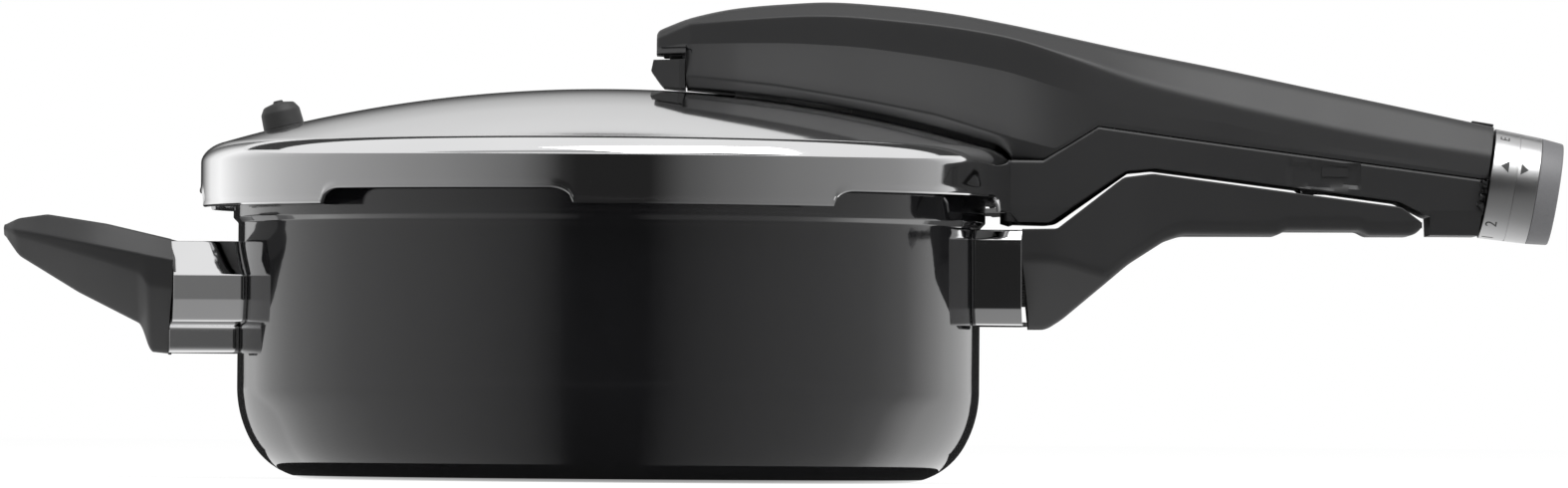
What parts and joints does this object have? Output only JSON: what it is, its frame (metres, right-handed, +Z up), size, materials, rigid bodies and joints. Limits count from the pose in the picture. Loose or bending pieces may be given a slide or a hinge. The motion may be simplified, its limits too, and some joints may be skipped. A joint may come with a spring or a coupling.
{
  "type": "stovetop pressure cooker",
  "caption": "Low stovetop pressure cooker: enamelled pan with a helper handle, bayonet lid, long double handle and a rotary pressure dial at its end.",
  "frame": {"origin": "centre of the pan's base, on the surface that it stands on", "axes": "+Z up along the pan's axis, +X along the long handles, +Y to the left of someone who looks along +X"},
  "size_m": [0.4745, 0.249, 0.1461],
  "materials": {
    "enamel": "gloss black enamel",
    "polished_steel": "mirror polished stainless steel",
    "satin_steel": "turned satin stainless steel",
    "plain_steel": "bright machined steel",
    "handle_black": "satin black moulded plastic",
    "inner_black": "matt black moulded plastic",
    "cap_grey": "satin grey moulded plastic",
    "rubber_black": "soft black rubber",
    "seal_grey": "pale grey silicone rubber",
    "brass": "machined brass"
  },
  "bodies": {
    "pot": {"pot": "enamel", "pan_bracket": "plain_steel", "pan_flame_guard": "polished_steel", "pan_handle": "handle_black", "pan_handle_screw": "plain_steel", "helper_bracket": "plain_steel", "helper_flame_guard": "polished_steel", "helper_handle": "handle_black", "helper_handle_screw": "plain_steel"},
    "seal": {"sealing_ring": "seal_grey"},
    "lid": {"lid": "polished_steel", "safety_valve_cap": "rubber_black", "safety_valve_ball": "plain_steel", "valve_body": "brass", "valve_gasket": "seal_grey", "valve_nut": "brass", "handle_nut": "brass", "signal_grommet": "seal_grey", "lid_handle_top": "handle_black", "lid_handle_base": "handle_black", "lid_handle_screws": "plain_steel", "index_marker": "handle_black", "handle_plate": "inner_black", "latch_pin": "plain_steel", "latch_spring": "plain_steel", "valve_spring": "plain_steel", "rod_bearing_front": "inner_black", "rod_bearing_rear": "inner_black"},
    "latch": {"release_latch": "handle_black"},
    "dial": {"dial_core": "inner_black", "dial_ring": "satin_steel", "dial_cap": "cap_grey", "control_rod": "plain_steel"},
    "wedge": {"control_wedge": "inner_black"},
    "seat": {"spring_seat": "brass"},
    "plunger": {"valve_plunger": "plain_steel"},
    "signal": {"signal_pin": "cap_grey"},
    "slider": {"lock_slider": "handle_black"},
    "bolt": {"lock_bolt": "plain_steel"}
  },
  "joints": [
    {"name": "lid_lift", "type": "slide", "parent": "pot", "child": "seal", "axis": [0, 0, 1], "range_m": [0, 0.12]},
    {"name": "lid_turn", "type": "hinge", "parent": "seal", "child": "lid", "pos_m": [0, 0, 0], "axis": [0, 0, 1], "range_deg": [0, 29]},
    {"name": "latch_press", "type": "hinge", "parent": "lid", "child": "latch", "pos_m": [0.042, 0, 0.1244], "axis": [0, 1, 0], "range_deg": [0, 2.2], "stiffness_Nm_per_rad": 0.6, "springref_deg": -2.86},
    {"name": "dial_turn", "type": "hinge", "parent": "lid", "child": "dial", "pos_m": [0.2671, 0, 0.09275], "axis": [0.988, 0, -0.1547], "range_deg": [-140, 30]},
    {"name": "wedge_travel", "type": "slide", "parent": "lid", "child": "wedge", "axis": [0.988, 0, -0.1547], "range_m": [-0.0037, 0.0008]},
    {"name": "seat_travel", "type": "slide", "parent": "lid", "child": "seat", "axis": [0.1547, 0, 0.988], "range_m": [-0.00025, 0.00112]},
    {"name": "valve_lift", "type": "slide", "parent": "lid", "child": "plunger", "axis": [0.1547, 0, 0.988], "range_m": [0, 0.0025], "stiffness_N_per_m": 300, "springref_m": -0.001, "deforming": ["valve_spring"]},
    {"name": "signal_rise", "type": "slide", "parent": "lid", "child": "signal", "axis": [0.1547, 0, 0.988], "range_m": [0, 0.006]},
    {"name": "slider_travel", "type": "slide", "parent": "lid", "child": "slider", "axis": [1, 0, 0], "range_m": [-0.006, 0]},
    {"name": "bolt_drop", "type": "slide", "parent": "lid", "child": "bolt", "axis": [0, 0, 1], "range_m": [-0.00201, 0]}
  ],
  "couplings": [
    {"joint": "wedge_travel", "follows": "dial_turn", "m_per_rad": 0.0015},
    {"joint": "seat_travel", "follows": "dial_turn", "m_per_rad": -0.00045},
    {"joint": "bolt_drop", "follows": "slider_travel", "ratio": 0.33333}
  ]
}
